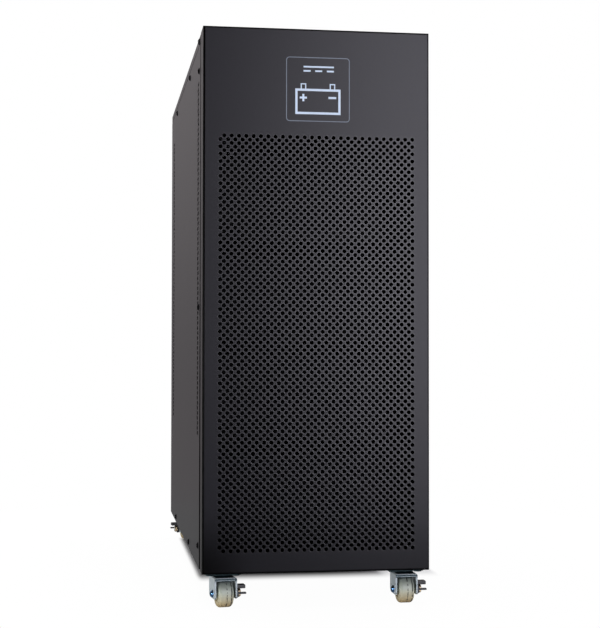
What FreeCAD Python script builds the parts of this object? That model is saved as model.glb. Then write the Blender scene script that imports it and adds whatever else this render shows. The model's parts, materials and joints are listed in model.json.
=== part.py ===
"""Tower battery cabinet for an uninterruptible power supply, on four braked swivel casters.

Millimetres. +Z is up, the perforated front faces -Y, and the origin is on the floor,
under the middle of the box round the whole cabinet.
"""
import FreeCAD, Part
import math
import os

Vector = FreeCAD.Vector
X_AXIS = Vector(1, 0, 0)
Y_AXIS = Vector(0, 1, 0)
Z_AXIS = Vector(0, 0, 1)

# Cabinet
cabinet_width = 250.0
cabinet_depth = 595.0
cabinet_height = 592.0
skin = 1.2                    # sheet of the outer panels
fold = 0.8                    # inside radius of a fold
seam = 1.0                    # open joint between neighbouring panels
seat = 0.3                    # clearance of one sheet inside another
fit = 0.1                     # clearance round a screw, bolt or plug in its hole
running = 0.05                # clearance round a shaft that turns
over = 1.0                    # length of a cutting shape beyond the face it opens
fillet_limit = 0.45           # largest fillet, as a share of the wall it rounds

# Front panel
front_return = 40.0           # folded edge at the sides and the top
foot_return = 8.0             # folded edge along the bottom
hole_pitch = 8.0              # perforation, staggered at 45 degrees
hole_diameter = 4.0
hole_group = 3                # a modelled hole stands for this many pitches each way
grille_side = 17.0            # plain border left and right of the holes
grille_foot = 23.0            # plain border below them
grille_head = 117.0           # plain border above them

# Side panels and top cover
lip = 10.0                    # turned-down edge of the top cover
vent_row = 5.6                # spacing of the rows in a vent strip
vent_group = 4                # a modelled hole stands for this many rows
vent_width = 12.0             # of the strip
vent_foot = 146.0             # strip's lower end above the cabinet's foot
vent_head = 49.0              # strip's upper end below the cabinet's top
front_vent = 69.0             # strip's line behind the front face
rear_vent = 58.0              # strip's line before the rear face

# Vent slots in the rear panel, in two banks side by side
slot_length = 70.0
slot_height = 4.0
slot_step = 12.0
slot_rows = 14
slot_rise = 70.0              # lowest slot above the cabinet's foot
slot_gap = 30.0               # between the two banks

# Button-headed panel screws
screw_head = 7.6
screw_head_height = 2.0
screw_shank = 4.0
screw_length = 8.0            # below the head
post_screw = 55.0             # upright row of screws behind the front face
post_screw_rise = 24.0        # lowest screw of that row above the cabinet's foot
post_screw_drop = 39.0        # highest one below the cabinet's top
screw_edge = 7.0              # from that row to the edge of the frame behind it
screw_clear = 1.0             # from those screws to the tray runners
rail_screw_drop = 18.0        # upper row below the cabinet's top
tray_screw_rise = 8.0         # lower row above the cabinet's foot
row_screw_first = 203.0       # first screw of both rows behind the front face
row_screw_step = 258.0

# Inner frame
frame_sheet = 1.5
frame_front = 22.0            # front edge of the portal behind the front face
frame_flange = 14.0
rail_leg = 34.0               # upright leg of the top rails
rail_flange = 20.0
base_sheet = 2.0
base_flange = 25.0
rear_flange = 10.0

# Battery tiers
tray_sheet = 1.2
tray_lip = 15.0
tray_rise = 26.0              # lowest tray above the cabinet's foot
tray_side_gap = 10.0          # between a tray and the inner frame
tray_front_gap = 6.0
wiring_space = 50.0           # behind the trays
runner_leg = 15.0             # angle runners under the trays
runner_bearing = 8.0          # width of a runner that the tray rests on
equipment_space = 112.0       # room over the tiers for the breaker and sockets
tier_gap = 10.8               # over the terminals
battery_length = 151.0
battery_width = 65.0
battery_case = 94.0
battery_spacing = 1.0
battery_corner = 3.0
lid_height = 12.0
lid_groove = 0.8
tab_height = 6.0
tab_width = 6.4
tab_thickness = 1.0
tab_inset = 15.5              # from the battery's end to the middle of the tab
link_thickness = 0.8

# Wiring
lead_diameter = 5.0
lead_clear = 14.0             # from the trays to the middle of the upright leads
lead_lane = 10.0              # from those leads to the one that rises past them
lug_length = 10.0
lead_arc = 0.45               # of the shorter run, taken up by a bend at each end
lead_drop = 30.0              # upright end of the positive lead under the fuse
output_lead_inset = 45.0      # leads that pass the fuse, from the rear panel
fuse_lead_inset = 8.0         # leads from the fuse, from the rear panel
pole_step = 20.0              # between the poles behind a socket

# Breaker, fuse, sockets and earth stud on the rear panel
equipment_drop = 57.0         # middle of the equipment below the cabinet's top
breaker_inset = 65.0          # middle of the breaker from the cabinet's left side
breaker_width = 36.0
breaker_height = 84.0
breaker_body_depth = 60.0
breaker_nose_height = 45.0
breaker_nose_reach = 4.0
toggle_radius = 6.0
toggle_width = 25.0
toggle_inset = 3.0            # hinge line behind the nose's face
toggle_reach = 16.0
toggle_thickness = 5.0
toggle_round = 2.0
toggle_angle = 25.0           # below level when switched off
fuse_x = -10.0
fuse_block_width = 30.0
fuse_block_height = 70.0
fuse_block_depth = 20.0
fuse_diameter = 10.3
fuse_length = 51.0
fuse_clip = 10.0
fuse_clip_wall = 2.0
fuse_cap_step = 0.4           # caps beyond the barrel
socket_inset = 70.0           # middle of the sockets from the cabinet's right side
socket_step = 46.0            # between the two sockets
socket_width = 50.0
socket_height = 20.0
socket_reach = 22.0           # beyond the rear panel
socket_inside = 12.0
socket_wall = 3.0
socket_depth = 18.0
socket_corner = 1.5
socket_ear = 9.0              # flange beyond the body on each side
socket_ear_thickness = 3.0
socket_ear_corner = 3.0
contact_width = 12.0
contact_height = 6.0
contact_reach = 5.0
socket_screw_shank = 3.0
socket_screw_head = 5.6
socket_screw_head_height = 2.0
socket_screw_length = 8.0
earth_inset = 25.0            # from the cabinet's right side
earth_drop = 112.0            # below the cabinet's top
earth_shank = 6.0
earth_reach = 19.0
earth_nut_height = 5.0
earth_nut_flats = 10.0
earth_head_height = 4.0
earth_washer = 12.5
earth_washer_thickness = 1.6
earth_relief = 5.2            # undercut between the nut and the free thread
earth_relief_length = 1.0

# Casters
caster_side = 24.0            # swivel axis from the sides of the cabinet
caster_inset = 29.0           # swivel axis from the front and rear faces
left_swivel = 8.0             # angles that the casters of each side stand at
right_swivel = 0.5
trail = 10.0                  # axle from the swivel axis
wheel_diameter = 30.0
wheel_width = 17.6
wheel_edge = 3.0
wheel_dish = 2.0
rim_depth = 3.6
hub_radius = 6.0
hub_play = 0.2                # between the hub and the fork
hub_reach = 1.8               # hub beyond the tread on each side
axle_diameter = 6.0
axle_head = 8.6
axle_head_height = 3.0
crown_gap = 1.4               # between the wheel and the fork's crown
fork_sheet = 1.6
fork_front = 11.0             # legs before the axle
fork_rear = 7.0               # legs behind the swivel axis
fork_drop = 5.0               # legs below the axle
fork_toe = 2.5                # round of their front corners
fork_heel = 6.0               # and of their rear ones
fork_lip = 2.2                # turned-down edge before the wheel
race_height = 3.0
race_diameter = 25.0
race_play = 0.2
race_round = 1.0
plate_size = 40.0
plate_sheet = 2.0
plate_corner = 5.0
kingpin_diameter = 8.0
kingpin_head = 11.0
kingpin_head_height = 1.2
bolt_step = 28.0
bolt_diameter = 5.0
bolt_head = 8.4
bolt_head_height = 1.2
bolt_nut_flats = 8.0
bolt_nut_height = 4.0
bolt_spare = 1.5              # thread beyond the nut

# Brake levers, on the outer end of each axle
lever_play = 0.2
lever_sheet = 2.2
lever_hub = 6.0
lever_arm = 9.0
pedal_reach = 8.6             # pedals beyond the lever's plate
pedal_low = 4.8               # upper pedal above the axle
pedal_thickness = 4.2
prong_front = 8.6             # lower prong before the axle
prong_depth = 3.0
prong_thickness = 2.0
prong_low = -0.5              # its underside above the axle
lever_spur = 7.2
pedal_round = 0.9
nut_flats = 8.0
nut_height = 3.4

# Places that follow from the sizes
wheel_radius = wheel_diameter / 2
crown_foot = wheel_diameter + crown_gap
crown_top = crown_foot + fork_sheet
plate_foot = crown_top + race_height
foot = plate_foot + plate_sheet
top = foot + cabinet_height
front = -(cabinet_depth + socket_reach) / 2
rear = front + cabinet_depth
half_width = cabinet_width / 2
outer_fold = fold + skin
inner_half = half_width - skin - seat
frame_half = inner_half - frame_sheet
lip_foot = top - lip
panel_top = lip_foot - seam
rear_inside = rear - skin
frame_back = post_screw + screw_edge
runner_half = inner_half - max(frame_sheet, base_sheet)
tray_half = runner_half - tray_side_gap
tray_front = front + frame_back + tray_front_gap
tray_rear = rear - wiring_space
breaker_x = breaker_inset - half_width
socket_x = half_width - socket_inset
earth_x = half_width - earth_inset
caster_x = half_width - caster_side
tab_top = battery_case + tab_height
tier_step = tray_sheet + tab_top + tier_gap
tier_count = int((cabinet_height - equipment_space - tray_rise) // tier_step)
equipment_z = top - equipment_drop


def block(x, y, z):
    """Box between two coordinates on each axis."""
    size = (x[1] - x[0], y[1] - y[0], z[1] - z[0])
    return Part.makeBox(*size, Vector(x[0], y[0], z[0]))


def about(middle, size):
    """Pair of coordinates a size apart, with the middle between them."""
    return (middle - size / 2, middle + size / 2)


def rod(diameter, start, direction, length):
    """Round bar from a start point."""
    return Part.makeCylinder(diameter / 2, length, start, direction)


def prism(points, direction):
    """Flat outline through points, drawn out along a direction."""
    return Part.Face(Part.makePolygon(points + points[:1])).extrude(direction)


def hexagon(flats, start, direction):
    """Six-sided bar with its flats a given width apart, from a start point along X, Y or Z."""
    axis = Vector(direction).normalize()
    across = Z_AXIS if abs(axis.z) < 0.5 else X_AXIS
    other = axis.cross(across)
    corner = flats / math.sqrt(3)
    points = []
    for step in range(6):
        angle = math.radians(60 * step)
        points.append(start + across * (corner * math.cos(angle)) + other * (corner * math.sin(angle)))
    return prism(points, direction)


def turned(profile, start, axis):
    """Solid of revolution of (along, radius) points or arcs of three such points."""
    side = Y_AXIS if abs(axis.y) < 0.5 else X_AXIS

    def place(point):
        return start + axis * point[0] + side * point[1]

    edges = []
    here = place(profile[0])
    for step in profile[1:]:
        if len(step) == 2 and not isinstance(step[0], tuple):
            there = place(step)
            edges.append(Part.makeLine(here, there))
        else:
            there = place(step[1])
            edges.append(Part.Arc(here, place(step[0]), there).toShape())
        here = there
    edges.append(Part.makeLine(here, place(profile[0])))
    return Part.Face(Part.Wire(edges)).revolve(start, axis, 360)


def round_edges(shape, radius, keep_sharp):
    """Shape with its edges rounded, apart from those the test keeps sharp."""
    edges = [edge for edge in shape.Edges if not keep_sharp(edge)]
    return shape.makeFillet(radius, edges)


def lies_at(edge, axis, level):
    """True if both ends of an edge are at a level on an axis (0, 1 or 2)."""
    return all(abs(vertex.Point[axis] - level) < 1e-6 for vertex in edge.Vertexes)


def folded_pan(x, y, z, sheet, axis, opens_up):
    """Sheet folded round a flat floor, open at the high or low end of an axis."""
    spans = [x, y, z]
    inner = [(low + sheet, high - sheet) for low, high in spans]
    if opens_up:
        inner[axis] = (inner[axis][0], spans[axis][1] + sheet)
    else:
        inner[axis] = (spans[axis][0] - sheet, inner[axis][1])
    end = 1 if opens_up else 0
    outside = round_edges(block(*spans), fold + sheet, lambda edge: lies_at(edge, axis, spans[axis][end]))
    inside = round_edges(block(*inner), fold, lambda edge: lies_at(edge, axis, inner[axis][end]))
    return outside.cut(inside)


def staggered(width, height, pitch, size):
    """Places (x, z) of a field of staggered holes about the middle of a width and height."""
    half = pitch / 2
    columns = int((width - size) // half) + 1
    rows = int((height - size) // half) + 1
    places = []
    for row in range(rows):
        for column in range(columns):
            if (row + column) % 2:
                x = (column - (columns - 1) / 2) * half
                z = (row - (rows - 1) / 2) * half
                places.append((x, z))
    return places


def dome(start, height, radius):
    """Arc of a spherical cap from its rim to its crown, as (along, radius) points for a turned profile."""
    sphere = (radius ** 2 + height ** 2) / (2 * abs(height))
    half = math.asin(radius / sphere) / 2
    rise = abs(height) - sphere + sphere * math.cos(half)
    side = math.copysign(1, height)
    return ((start + side * rise, sphere * math.sin(half)), (start + height, 0))


def screw_places():
    """Side screws as (y, z): the upright row, the lip's screw, and the upper and lower rows."""
    low = foot + post_screw_rise
    high = top - post_screw_drop
    lip_middle = (lip_foot + top - outer_fold) / 2
    places = [(front + post_screw, z) for z in (low, (low + high) / 2, high, lip_middle)]
    for step in range(2):
        y = front + row_screw_first + step * row_screw_step
        places.append((y, top - rail_screw_drop))
        places.append((y, foot + tray_screw_rise))
    return places


def side_screws():
    """All the button-headed screws of both sides, seated on the panels' faces."""
    radius = screw_head / 2
    shank = screw_shank / 2
    cap = dome(0, screw_head_height, radius)
    profile = [(-screw_length, 0), (-screw_length, shank), (0, shank), (0, radius), cap]
    return [turned(profile, Vector(side * half_width, y, z), X_AXIS * side)
            for side in (-1, 1) for y, z in screw_places()]


def screw_holes():
    """Clearance for the side screws."""
    length = screw_length + fit + over
    holes = [rod(screw_shank + 2 * fit, Vector(side * (half_width + over), y, z), X_AXIS * -side, length)
             for side in (-1, 1) for y, z in screw_places()]
    return Part.makeCompound(holes)


def front_panel():
    """Folded front with its perforated field."""
    panel = folded_pan((-half_width, half_width), (front, front + front_return), (foot, top), skin, 1, True)
    inside = half_width - skin
    foot_cut = block((-inside, inside), (front + foot_return, front + front_return + over),
                     (foot - over, foot + outer_fold))
    field_height = cabinet_height - grille_foot - grille_head
    field_middle = foot + grille_foot + field_height / 2
    size = hole_diameter * hole_group
    holes = []
    for x, z in staggered(cabinet_width - 2 * grille_side, field_height, hole_pitch * hole_group, size):
        start = Vector(x, front - skin, field_middle + z)
        holes.append(hexagon(size * math.sqrt(3) / 2, start, Y_AXIS * 3 * skin))
    return panel.cut(foot_cut).cut(Part.makeCompound(holes))


def side_panel(side):
    """Flat side with two vent strips and its screw holes."""
    x = sorted((side * half_width, side * (half_width - skin)))
    panel = block(x, (front + front_return + seam, rear), (foot, panel_top))
    step = vent_row * vent_group
    count = int((cabinet_height - vent_foot - vent_head - vent_width) // step) + 1
    middle = (foot + vent_foot + top - vent_head) / 2
    holes = []
    for y in (front + front_vent, rear - rear_vent):
        for row in range(count):
            z = middle + (row - (count - 1) / 2) * step
            start = Vector(side * (half_width - 2 * skin), y, z)
            holes.append(hexagon(vent_width, start, X_AXIS * (side * 3 * skin)))
    return panel.cut(Part.makeCompound(holes)).cut(screw_holes())


def top_cover():
    """Lid with a turned-down lip at the sides and the rear."""
    y = (front + front_return + seam, rear)
    lid = folded_pan((-half_width, half_width), (y[0] - front_return, y[1]), (lip_foot, top), skin, 2, False)
    ahead = block((-cabinet_width, cabinet_width), (y[0] - 2 * front_return, y[0]), (foot, top + over))
    return lid.cut(ahead).cut(screw_holes())


def round_slot(x, z, through):
    """Level slot with round ends, through a sheet between two depths."""
    radius = slot_height / 2
    reach = slot_length / 2 - radius
    middle = block(about(x, 2 * reach), through, about(z, slot_height))
    ends = [rod(slot_height, Vector(x + side * reach, through[0], z), Y_AXIS, through[1] - through[0])
            for side in (-1, 1)]
    return middle.fuse(ends).removeSplitter()


def rear_panel():
    """Folded rear with vent slots and openings for the breaker, the sockets and the earth stud."""
    panel = folded_pan((-inner_half, inner_half), (rear - rear_flange, rear),
                       (foot + base_sheet, panel_top), skin, 1, False)
    through = (rear - 2 * skin, rear + skin)
    cuts = [block(about(breaker_x, breaker_width + 2 * fit), through,
                  about(equipment_z, breaker_nose_height + 2 * fit))]
    for z in socket_levels():
        cuts.append(block(about(socket_x, socket_width + 2 * fit), through,
                          about(z, socket_height + 2 * fit)))
        for x in socket_screw_places():
            start = Vector(x, through[0], z)
            cuts.append(rod(socket_screw_shank + 2 * fit, start, Y_AXIS, 3 * skin))
    earth = Vector(earth_x, through[0], top - earth_drop)
    cuts.append(rod(earth_shank + 2 * fit, earth, Y_AXIS, 3 * skin))
    bank = (slot_gap + slot_length) / 2
    for row in range(slot_rows):
        z = foot + slot_rise + row * slot_step
        cuts += [round_slot(side * bank, z, through) for side in (-1, 1)]
    return panel.cut(Part.makeCompound(cuts))


def base_tray():
    """Floor of the cabinet, with upright edges that take the side panels' lower screws."""
    floor = block((-inner_half, inner_half), (front + foot_return + seam, rear), (foot, foot + base_sheet))
    y = (front + frame_back + seam, rear - rear_flange - seam)
    high = foot + base_flange
    channel = folded_pan((-inner_half, inner_half), (y[0] - base_flange, y[1] + base_flange),
                         (foot, high), base_sheet, 2, True)
    keep = block((-inner_half, inner_half), y, (foot, high))
    under = block((-inner_half, inner_half), y, (foot, foot + base_sheet + fold))
    tray = floor.cut(under).fuse(channel.common(keep)).removeSplitter()
    bolts = [rod(bolt_diameter + 2 * fit, Vector(x, y, foot - base_sheet), Z_AXIS, 3 * base_sheet)
             for x, y in bolt_places()]
    return tray.cut(Part.makeCompound(bolts)).cut(screw_holes())


def portal_frame():
    """Folded doorway behind the front panel, standing on the base tray."""
    z = (foot + base_sheet, top - skin - seat)
    y = (front + frame_front, front + frame_back)
    frame = block((-inner_half, inner_half), y, z)
    pocket = block((-frame_half, frame_half), (y[0] + frame_sheet, y[1] + frame_sheet),
                   (z[0] - frame_sheet, z[1] - frame_sheet))
    doorway = block((-inner_half + frame_flange, inner_half - frame_flange),
                    (y[0] - frame_sheet, y[1]), (z[0] - frame_sheet, z[1] - frame_flange))
    return frame.cut(pocket).cut(doorway).cut(screw_holes())


def top_rail(side):
    """Angle from the portal to the rear panel, under the lid."""
    y = (front + frame_back, rear - rear_flange)
    high = top - skin - seat
    leg = block(sorted((side * inner_half, side * frame_half)), y, (high - rail_leg, high))
    flange = block(sorted((side * inner_half, side * (inner_half - rail_flange))), y,
                   (high - frame_sheet, high))
    return leg.fuse(flange).removeSplitter().cut(screw_holes())


def tray_floor(tier):
    """Height of a tray's underside."""
    return foot + tray_rise + tier * tier_step


def tray_runners():
    """Angles on both sides that the trays rest on."""
    runners = []
    y = (front + post_screw + screw_shank / 2 + screw_clear, rear_inside - seat)
    for tier in range(tier_count):
        high = tray_floor(tier)
        for side in (-1, 1):
            leg = block(sorted((side * runner_half, side * (runner_half - frame_sheet))), y,
                        (high - runner_leg, high))
            ledge = block(sorted((side * runner_half, side * (tray_half - runner_bearing))), y,
                          (high - frame_sheet, high))
            runners.append(leg.fuse(ledge).removeSplitter())
    return runners


def battery_tray(tier):
    """Folded tray under one tier of batteries."""
    low = tray_floor(tier)
    return folded_pan((-tray_half, tray_half), (tray_front, tray_rear), (low, low + tray_lip), tray_sheet, 2,
                      True)


def battery():
    """Sealed block battery standing on its base at the origin, its length along X."""
    case = block(about(0, battery_length), about(0, battery_width), (0, battery_case))
    upright = [edge for edge in case.Edges if abs(edge.tangentAt(0).z) > 0.5]
    case = case.makeFillet(battery_corner, upright)
    groove = block(about(0, 2 * battery_length), about(0, 2 * battery_width),
                   about(battery_case - lid_height, lid_groove))
    core = block(about(0, battery_length - 2 * lid_groove), about(0, battery_width - 2 * lid_groove),
                 (0, battery_case))
    case = case.cut(groove.cut(core))
    tabs = []
    for end in (-1, 1):
        x = end * (battery_length / 2 - tab_inset)
        tabs.append(block(about(x, tab_width), about(0, tab_thickness), (battery_case, tab_top)))
    return case.fuse(tabs)


def battery_places(tier):
    """Places (x, y, turn) of a tier's batteries: one file across the tray and one along it."""
    flip = 1 if tier % 2 else -1
    room_x = 2 * (tray_half - tray_sheet)
    room_y = tray_rear - tray_front - 2 * tray_sheet
    middle_y = (tray_front + tray_rear) / 2
    along = battery_width + battery_spacing
    across = battery_length + battery_spacing
    beside = battery_length + battery_spacing + battery_width
    shift = (beside - battery_length) / 2 if beside <= room_x else 0
    file_count = int((room_y + battery_spacing) // along)
    places = [(flip * shift, middle_y + ((file_count - 1) / 2 - step) * along, 0)
              for step in range(file_count)]
    if beside <= room_x:
        row_count = int((room_y + battery_spacing) // across)
        x = -flip * (beside - battery_width) / 2
        places += [(x, middle_y + (step - (row_count - 1) / 2) * across, 90) for step in range(row_count)]
    return places


def battery_tier(tier):
    """The sealed batteries of one tray."""
    low = tray_floor(tier) + tray_sheet
    tier_batteries = []
    for x, y, turn in battery_places(tier):
        placed = battery()
        placed.rotate(Vector(0, 0, 0), Z_AXIS, turn)
        placed.translate(Vector(x, y, low))
        tier_batteries.append(placed)
    return tier_batteries


def tier_tabs(tier):
    """Terminals of a tier in the order of its circuit, from the rear round to the rear again.

    With one file of batteries the circuit runs forwards on one tier and back on the next.
    """
    reach = battery_length / 2 - tab_inset
    flip = 1 if tier % 2 else -1
    file_places = [place for place in battery_places(tier) if place[2] == 0]
    row_places = [place for place in battery_places(tier) if place[2] == 90]
    outward = flip if len(file_places) % 2 else -flip
    tabs = []
    for x, y, turn in file_places:
        tabs.append((x + outward * reach, y))
        tabs.append((x - outward * reach, y))
        outward = -outward
    for x, y, turn in row_places:
        tabs.append((x, y - reach))
        tabs.append((x, y + reach))
    if not row_places and tier % 2:
        tabs.reverse()
    return tabs


def battery_links():
    """Flat links from each battery to the next, tier by tier."""
    links = []
    for tier in range(tier_count):
        level = tray_floor(tier) + tray_sheet + tab_top
        tabs = tier_tabs(tier)
        for here, there in zip(tabs[1:-1:2], tabs[2:-1:2]):
            span = Vector(there[0] - here[0], there[1] - here[1], 0)
            link = block((-tab_width / 2, span.Length + tab_width / 2), about(0, tab_width),
                         (0, link_thickness))
            link.rotate(Vector(0, 0, 0), Z_AXIS, math.degrees(math.atan2(span.y, span.x)))
            link.translate(Vector(here[0], here[1], level))
            links.append(link)
    return links


def lead(points):
    """Insulated lead along straight runs joined by arcs as large as the runs allow."""
    edges = []
    here = points[0]
    for before, corner, after in zip(points, points[1:], points[2:]):
        back = (before - corner).normalize()
        ahead = (after - corner).normalize()
        reach = lead_arc * min(before.distanceToPoint(corner), after.distanceToPoint(corner))
        inward = (back + ahead).normalize()
        half = back.getAngle(ahead) / 2
        radius = reach * math.tan(half)
        start = corner + back * reach
        end = corner + ahead * reach
        middle = corner + inward * (radius / math.sin(half) - radius)
        edges.append(Part.makeLine(here, start))
        edges.append(Part.Arc(start, middle, end).toShape())
        here = end
    edges.append(Part.makeLine(here, points[-1]))
    path = Part.Wire(edges)
    ring = Part.Wire(Part.makeCircle(lead_diameter / 2, points[0], points[1] - points[0]))
    return path.makePipeShell([ring], True, False)


def tab_point(tab, tier):
    """Middle of a lead that lies over a terminal."""
    level = tray_floor(tier) + tray_sheet + tab_top + link_thickness + lead_diameter / 2
    return Vector(tab[0], tab[1], level)


def lead_line(point):
    """Line of the upright leads beyond the tray's nearest end to a point, and which way it lies."""
    if point.y > (tray_front + tray_rear) / 2:
        return tray_rear + lead_clear, 1
    return tray_front - lead_clear, -1


def lug(point):
    """Flat foot under the end of a lead, down to its terminal."""
    way = lead_line(point)[1]
    reach = sorted((point.y - way * tab_width / 2, point.y + way * lug_length))
    return block(about(point.x, tab_width), reach, (point.z - lead_diameter / 2 - link_thickness, point.z))


def tier_leads():
    """Leads from the end of each tier's circuit to the start of the next."""
    leads = []
    for tier in range(tier_count - 1):
        start = tab_point(tier_tabs(tier)[-1], tier)
        end = tab_point(tier_tabs(tier + 1)[0], tier + 1)
        line = lead_line(start)[0]
        route = [start, Vector(start.x, line, start.z), Vector(end.x, line, end.z), end]
        leads.append(lead(route).fuse([lug(start), lug(end)]))
    return leads


def positive_lead():
    """Lead from the lowest tier up to the fuse."""
    start = tab_point(tier_tabs(0)[0], 0)
    end = Vector(fuse_x, rear_inside - fuse_block_depth / 2, equipment_z - fuse_block_height / 2)
    line = lead_line(start)[0] + lead_lane
    low = Vector(start.x, line, start.z)
    rise = Vector(breaker_x, line, start.z + tier_step / 2)
    highest = tab_point(tier_tabs(0)[0], tier_count - 1).z
    turn = Vector(breaker_x + lead_diameter, line, highest - tier_step / 2)
    under = Vector(end.x, end.y, end.z - lead_drop)
    return lead([start, low, rise, turn, under, end]).fuse(lug(start))


def negative_lead():
    """Lead from the end of the highest tier to the breaker."""
    start = tab_point(tier_tabs(tier_count - 1)[-1], tier_count - 1)
    end = Vector(breaker_x, tray_rear + lead_clear, equipment_z - breaker_height / 2)
    return lead([start, Vector(end.x, end.y, start.z), end]).fuse(lug(start))


def output_leads():
    """Leads from the breaker, round before the fuse, and from the fuse, to both sockets."""
    leads = []
    for z in socket_levels():
        start = Vector(breaker_x + breaker_width / 2, rear_inside - output_lead_inset, z)
        end = Vector(socket_x + pole_step / 2, rear_inside - socket_inside, z)
        leads.append(lead([start, Vector(end.x, start.y, z), end]))
        level = rear_inside - fuse_lead_inset
        leads.append(lead([Vector(fuse_x + fuse_block_width / 2, level, z),
                           Vector(socket_x - socket_width / 2, level, z)]))
    return leads


def socket_levels():
    """Heights of the two sockets."""
    return (equipment_z + socket_step / 2, equipment_z - socket_step / 2)


def socket_screw_places():
    """Positions along X of a socket's two screws."""
    reach = (socket_width + socket_ear) / 2
    return (socket_x - reach, socket_x + reach)


def output_socket(z):
    """Two-pole battery socket: body through the panel, ears outside, open mouth to the rear."""
    body = block(about(socket_x, socket_width), (rear_inside - socket_inside, rear + socket_reach),
                 about(z, socket_height))
    mouth_edges = [edge for edge in body.Edges if abs(edge.tangentAt(0).y) > 0.5]
    body = body.makeFillet(socket_corner, mouth_edges)
    ears = block(about(socket_x, socket_width + 2 * socket_ear), (rear, rear + socket_ear_thickness),
                 about(z, socket_height))
    ear_edges = [edge for edge in ears.Edges if abs(edge.tangentAt(0).y) > 0.5]
    ears = ears.makeFillet(socket_ear_corner, ear_edges)
    mouth = block(about(socket_x, socket_width - 2 * socket_wall),
                  (rear + socket_reach - socket_depth, rear + socket_reach + over),
                  about(z, socket_height - 2 * socket_wall))
    holes = [mouth]
    for x in socket_screw_places():
        holes.append(rod(socket_screw_shank + 2 * fit, Vector(x, rear - over, z), Y_AXIS,
                         socket_ear_thickness + 2 * over))
    return body.fuse(ears).cut(Part.makeCompound(holes))


def socket_contacts():
    """Contact blocks on the floor of each socket's mouth."""
    contacts = []
    for z in socket_levels():
        for side in (-1, 1):
            x = socket_x + side * (socket_width / 4 - socket_wall / 2)
            y = rear + socket_reach - socket_depth
            contacts.append(block(about(x, contact_width), (y, y + contact_reach), about(z, contact_height)))
    return contacts


def socket_screws():
    """Domed screws in the ears of the sockets."""
    screws = []
    seat_y = rear + socket_ear_thickness
    radius = socket_screw_head / 2
    shank = socket_screw_shank / 2
    cap = dome(0, socket_screw_head_height, radius)
    for z in socket_levels():
        for x in socket_screw_places():
            profile = [(-socket_screw_length, 0), (-socket_screw_length, shank), (0, shank), (0, radius), cap]
            screws.append(turned(profile, Vector(x, seat_y, z), Y_AXIS))
    return screws


def breaker_body():
    """Breaker behind the panel, its nose through the panel with a round seat for the toggle."""
    body = block(about(breaker_x, breaker_width), (rear_inside - breaker_body_depth, rear_inside),
                 about(equipment_z, breaker_height))
    face = rear + breaker_nose_reach
    nose = block(about(breaker_x, breaker_width), (rear_inside, face),
                 about(equipment_z, breaker_nose_height))
    hinge = Vector(breaker_x - toggle_width / 2 - seat, face - toggle_inset, equipment_z)
    seat_cut = rod(2 * (toggle_radius + running), hinge, X_AXIS, toggle_width + 2 * seat)
    return body.fuse(nose).removeSplitter().cut(seat_cut)


def breaker_toggle():
    """Toggle on its round hub, hanging down when switched off."""
    hinge_y = rear + breaker_nose_reach - toggle_inset
    start = Vector(breaker_x - toggle_width / 2, hinge_y, equipment_z)
    hub = rod(2 * toggle_radius, start, X_AXIS, toggle_width)
    handle = block(about(breaker_x, toggle_width), (hinge_y, hinge_y + toggle_reach),
                   about(equipment_z, toggle_thickness))
    tip = [edge for edge in handle.Edges
           if lies_at(edge, 1, hinge_y + toggle_reach) and abs(edge.tangentAt(0).x) > 0.5]
    handle = handle.makeFillet(min(toggle_round, fillet_limit * toggle_thickness), tip)
    toggle = hub.fuse(handle)
    toggle.rotate(Vector(0, hinge_y, equipment_z), X_AXIS, -toggle_angle)
    return toggle


def fuse_block():
    """Moulded base on the rear panel's inner face, with a clip at each end of the fuse."""
    base_y = rear_inside - fuse_block_depth
    base = block(about(fuse_x, fuse_block_width), (base_y, rear_inside),
                 about(equipment_z, fuse_block_height))
    middle_y = base_y - fuse_diameter / 2
    clips = []
    for end in (-1, 1):
        z = equipment_z + end * (fuse_length - fuse_clip) / 2
        clips.append(block(about(fuse_x, fuse_diameter + 2 * fuse_clip_wall), (middle_y, base_y),
                           about(z, fuse_clip)))
    socket = rod(fuse_diameter + 2 * fit, Vector(fuse_x, middle_y, equipment_z - fuse_block_height), Z_AXIS,
                 2 * fuse_block_height)
    return base.fuse(clips).cut(socket)


def fuse():
    """Cartridge fuse with a cap at each end."""
    middle_y = rear_inside - fuse_block_depth - fuse_diameter / 2
    cap = fuse_diameter / 2
    barrel = cap - fuse_cap_step
    half = fuse_length / 2
    profile = [(-half, 0), (-half, cap), (-half + fuse_clip, cap), (-half + fuse_clip, barrel),
               (half - fuse_clip, barrel), (half - fuse_clip, cap), (half, cap), (half, 0)]
    return turned(profile, Vector(fuse_x, middle_y, equipment_z), Z_AXIS)


def earth_stud():
    """Threaded stud through the rear panel, its head inside and an undercut behind its free end."""
    z = top - earth_drop
    head_start = Vector(earth_x, rear_inside - earth_head_height, z)
    head = hexagon(earth_nut_flats, head_start, Y_AXIS * earth_head_height)
    radius = earth_shank / 2
    core = earth_relief / 2
    neck = skin + earth_washer_thickness + earth_nut_height
    end = skin + earth_reach
    profile = [(0, 0), (0, radius), (neck, radius), (neck, core), (neck + earth_relief_length, core),
               (neck + earth_relief_length, radius), (end, radius), (end, 0)]
    return head.fuse(turned(profile, Vector(earth_x, rear_inside, z), Y_AXIS))


def earth_nut():
    """Nut and washer on the earth stud."""
    z = top - earth_drop
    washer = rod(earth_washer, Vector(earth_x, rear, z), Y_AXIS, earth_washer_thickness)
    seat_face = Vector(earth_x, rear + earth_washer_thickness, z)
    nut = hexagon(earth_nut_flats, seat_face, Y_AXIS * earth_nut_height)
    bore = rod(earth_shank + 2 * fit, Vector(earth_x, rear - over, z), Y_AXIS, earth_reach)
    return washer.fuse(nut).cut(bore)


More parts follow.
